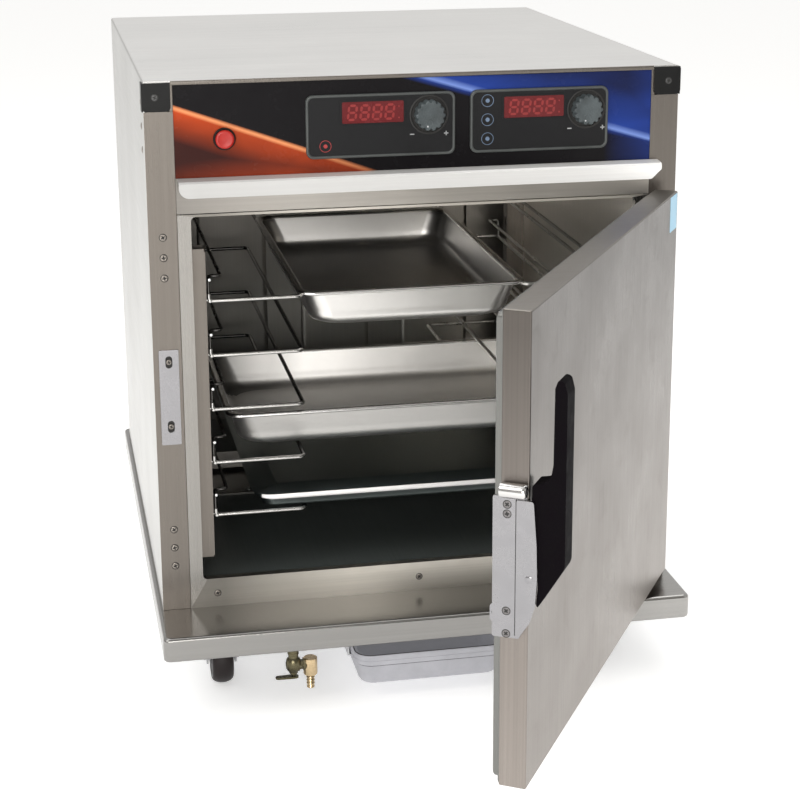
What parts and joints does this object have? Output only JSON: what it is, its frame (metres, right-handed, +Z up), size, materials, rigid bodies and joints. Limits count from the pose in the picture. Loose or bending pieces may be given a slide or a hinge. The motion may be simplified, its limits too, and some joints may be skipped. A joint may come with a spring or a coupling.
{
  "type": "food holding cabinet",
  "caption": "Undercounter stainless holding cabinet with a hinged insulated door, wire pan slides, food pans, control panel, drain valve and casters.",
  "frame": {"origin": "on the floor, in the middle of the object's footprint with the door standing open at its stored angle", "axes": "+Z up, the front faces -Y, +X is to the right of someone facing the front"},
  "size_m": [0.75, 1.4802, 0.871],
  "materials": {
    "stainless": "brushed vertical grain",
    "stainless_polished": "polished",
    "stainless_cavity": "satin, lightly heat tinted",
    "pan_steel": "satin with bright rim",
    "pan_aluminium": "satin",
    "wire_chrome": "bright",
    "latch_zinc": "zinc chromate",
    "screw_steel": "bright",
    "galvanised": "zinc plated",
    "black_plastic": "fine texture",
    "grip_black": "fine leather texture",
    "panel_black": "gloss overlay with warm and cool glow",
    "module_grey": "satin",
    "display_dark": "tinted window with dim red digits",
    "lens_red": "lit",
    "knob_grey": "satin",
    "drip_plastic": "satin",
    "gasket_rubber": "matte",
    "caster_tread": "matte",
    "insulation_wool": "fibrous",
    "board_green": "solder mask",
    "heater_sheath": "heat tinted",
    "motor_paint": "satin",
    "wheel_aluminium": "mill",
    "brass": "satin"
  },
  "bodies": {
    "cabinet": {"base_tray": "stainless_polished", "base_closing_plate": "galvanised", "outer_wrap": "stainless", "back_panel": "stainless", "front_post_left": "stainless", "front_post_right": "stainless", "corner_caps": "black_plastic", "control_panel": "panel_black", "drip_visor": "stainless_polished", "header_rail": "stainless", "front_frame": "stainless", "cavity_liner": "stainless_cavity", "wall_insulation": "insulation_wool", "rack_uprights": "stainless", "wire_slides": "wire_chrome", "slide_guard_wires": "wire_chrome", "strike_plate": "latch_zinc", "cabinet_screws": "screw_steel", "hinge_frame_leaves": "latch_zinc", "control_module_left": "module_grey", "control_module_right": "module_grey", "display_windows": "display_dark", "switch_bezel": "black_plastic", "blower_motor": "motor_paint", "fan_guard": "stainless_cavity", "air_heater": "heater_sheath", "control_board": "board_green", "water_reservoir": "stainless_cavity", "cord_gland": "black_plastic", "drain_valve_body": "brass", "drain_elbow": "brass", "drip_pan_runners": "galvanised", "caster_plates": "galvanised"},
    "door": {"door_skin": "stainless", "door_liner": "stainless_cavity", "door_insulation": "insulation_wool", "door_gasket": "gasket_rubber", "hinge_door_leaves": "latch_zinc", "latch_plate": "latch_zinc", "latch_screws": "screw_steel"},
    "handle": {"lever_arm": "latch_zinc", "lever_grip": "grip_black"},
    "latch_bolt": {"latch_bolt": "latch_zinc"},
    "power_button": {"power_button": "lens_red"},
    "knob_left": {"knob_left": "knob_grey"},
    "knob_right": {"knob_right": "knob_grey"},
    "blower_wheel": {"blower_wheel": "wheel_aluminium"},
    "drain_lever": {"drain_lever": "brass"},
    "drip_pan": {"drip_pan": "drip_plastic"},
    "pan_top": {"pan_top": "pan_steel"},
    "pan_middle": {"pan_middle": "pan_steel"},
    "sheet_pan": {"sheet_pan": "pan_aluminium"},
    "caster_fork_front_left": {"caster_fork_front_left": "galvanised"},
    "caster_wheel_front_left": {"caster_wheel_front_left": "caster_tread"},
    "caster_fork_front_right": {"caster_fork_front_right": "galvanised"},
    "caster_wheel_front_right": {"caster_wheel_front_right": "caster_tread"},
    "caster_fork_rear_left": {"caster_fork_rear_left": "galvanised"},
    "caster_wheel_rear_left": {"caster_wheel_rear_left": "caster_tread"},
    "caster_fork_rear_right": {"caster_fork_rear_right": "galvanised"},
    "caster_wheel_rear_right": {"caster_wheel_rear_right": "caster_tread"}
  },
  "joints": [
    {"name": "door_hinge", "type": "hinge", "parent": "cabinet", "child": "door", "pos_m": [0.3344, -0.10993, 0.4], "axis": [0, 0, 1], "range_deg": [-58, 60]},
    {"name": "handle_pull", "type": "hinge", "parent": "door", "child": "handle", "pos_m": [-0.00686, -0.72023, 0.4], "axis": [0.5299, 0.848, 0], "range_deg": [0, 12], "stiffness_Nm_per_rad": 2, "springref_deg": -8.59},
    {"name": "latch_lift", "type": "slide", "parent": "door", "child": "latch_bolt", "axis": [0, 0, 1], "range_m": [0, 0.006]},
    {"name": "button_press", "type": "slide", "parent": "cabinet", "child": "power_button", "axis": [0, 1, 0], "range_m": [0, 0.003], "stiffness_N_per_m": 200, "springref_m": -0.002},
    {"name": "knob_left_turn", "type": "hinge", "parent": "cabinet", "child": "knob_left", "pos_m": [0.015, -0.10493, 0.815], "axis": [0, -1, 0], "continuous": true},
    {"name": "knob_right_turn", "type": "hinge", "parent": "cabinet", "child": "knob_right", "pos_m": [0.235, -0.10493, 0.815], "axis": [0, -1, 0], "continuous": true},
    {"name": "blower_spin", "type": "hinge", "parent": "cabinet", "child": "blower_wheel", "pos_m": [0, 0.32507, 0.7], "axis": [0, 0, 1], "continuous": true},
    {"name": "drain_turn", "type": "hinge", "parent": "cabinet", "child": "drain_lever", "pos_m": [-0.193, -0.15493, 0.04], "axis": [0, 0, 1], "range_deg": [0, 90]},
    {"name": "drip_pan_slide", "type": "slide", "parent": "cabinet", "child": "drip_pan", "axis": [0, -1, 0], "range_m": [0, 0.25]},
    {"name": "pan_top_slide", "type": "slide", "parent": "cabinet", "child": "pan_top", "axis": [0, -1, 0], "range_m": [0, 0.25]},
    {"name": "pan_middle_slide", "type": "slide", "parent": "cabinet", "child": "pan_middle", "axis": [0, -1, 0], "range_m": [0, 0.15]},
    {"name": "sheet_pan_slide", "type": "slide", "parent": "cabinet", "child": "sheet_pan", "axis": [0, -1, 0], "range_m": [0, 0.17]},
    {"name": "swivel_front_left", "type": "hinge", "parent": "cabinet", "child": "caster_fork_front_left", "pos_m": [-0.286, -0.09993, 0.08], "axis": [0, 0, 1], "continuous": true},
    {"name": "roll_front_left", "type": "hinge", "parent": "caster_fork_front_left", "child": "caster_wheel_front_left", "pos_m": [-0.286, -0.06993, 0.0375], "axis": [1, 0, 0], "continuous": true},
    {"name": "swivel_front_right", "type": "hinge", "parent": "cabinet", "child": "caster_fork_front_right", "pos_m": [0.286, -0.09993, 0.08], "axis": [0, 0, 1], "continuous": true},
    {"name": "roll_front_right", "type": "hinge", "parent": "caster_fork_front_right", "child": "caster_wheel_front_right", "pos_m": [0.286, -0.06993, 0.0375], "axis": [1, 0, 0], "continuous": true},
    {"name": "swivel_rear_left", "type": "hinge", "parent": "cabinet", "child": "caster_fork_rear_left", "pos_m": [-0.286, 0.65007, 0.08], "axis": [0, 0, 1], "continuous": true},
    {"name": "roll_rear_left", "type": "hinge", "parent": "caster_fork_rear_left", "child": "caster_wheel_rear_left", "pos_m": [-0.286, 0.68007, 0.0375], "axis": [1, 0, 0], "continuous": true},
    {"name": "swivel_rear_right", "type": "hinge", "parent": "cabinet", "child": "caster_fork_rear_right", "pos_m": [0.286, 0.65007, 0.08], "axis": [0, 0, 1], "continuous": true},
    {"name": "roll_rear_right", "type": "hinge", "parent": "caster_fork_rear_right", "child": "caster_wheel_rear_right", "pos_m": [0.286, 0.68007, 0.0375], "axis": [1, 0, 0], "continuous": true}
  ],
  "couplings": [
    {"joint": "latch_lift", "follows": "handle_pull", "m_per_rad": 0.028}
  ]
}
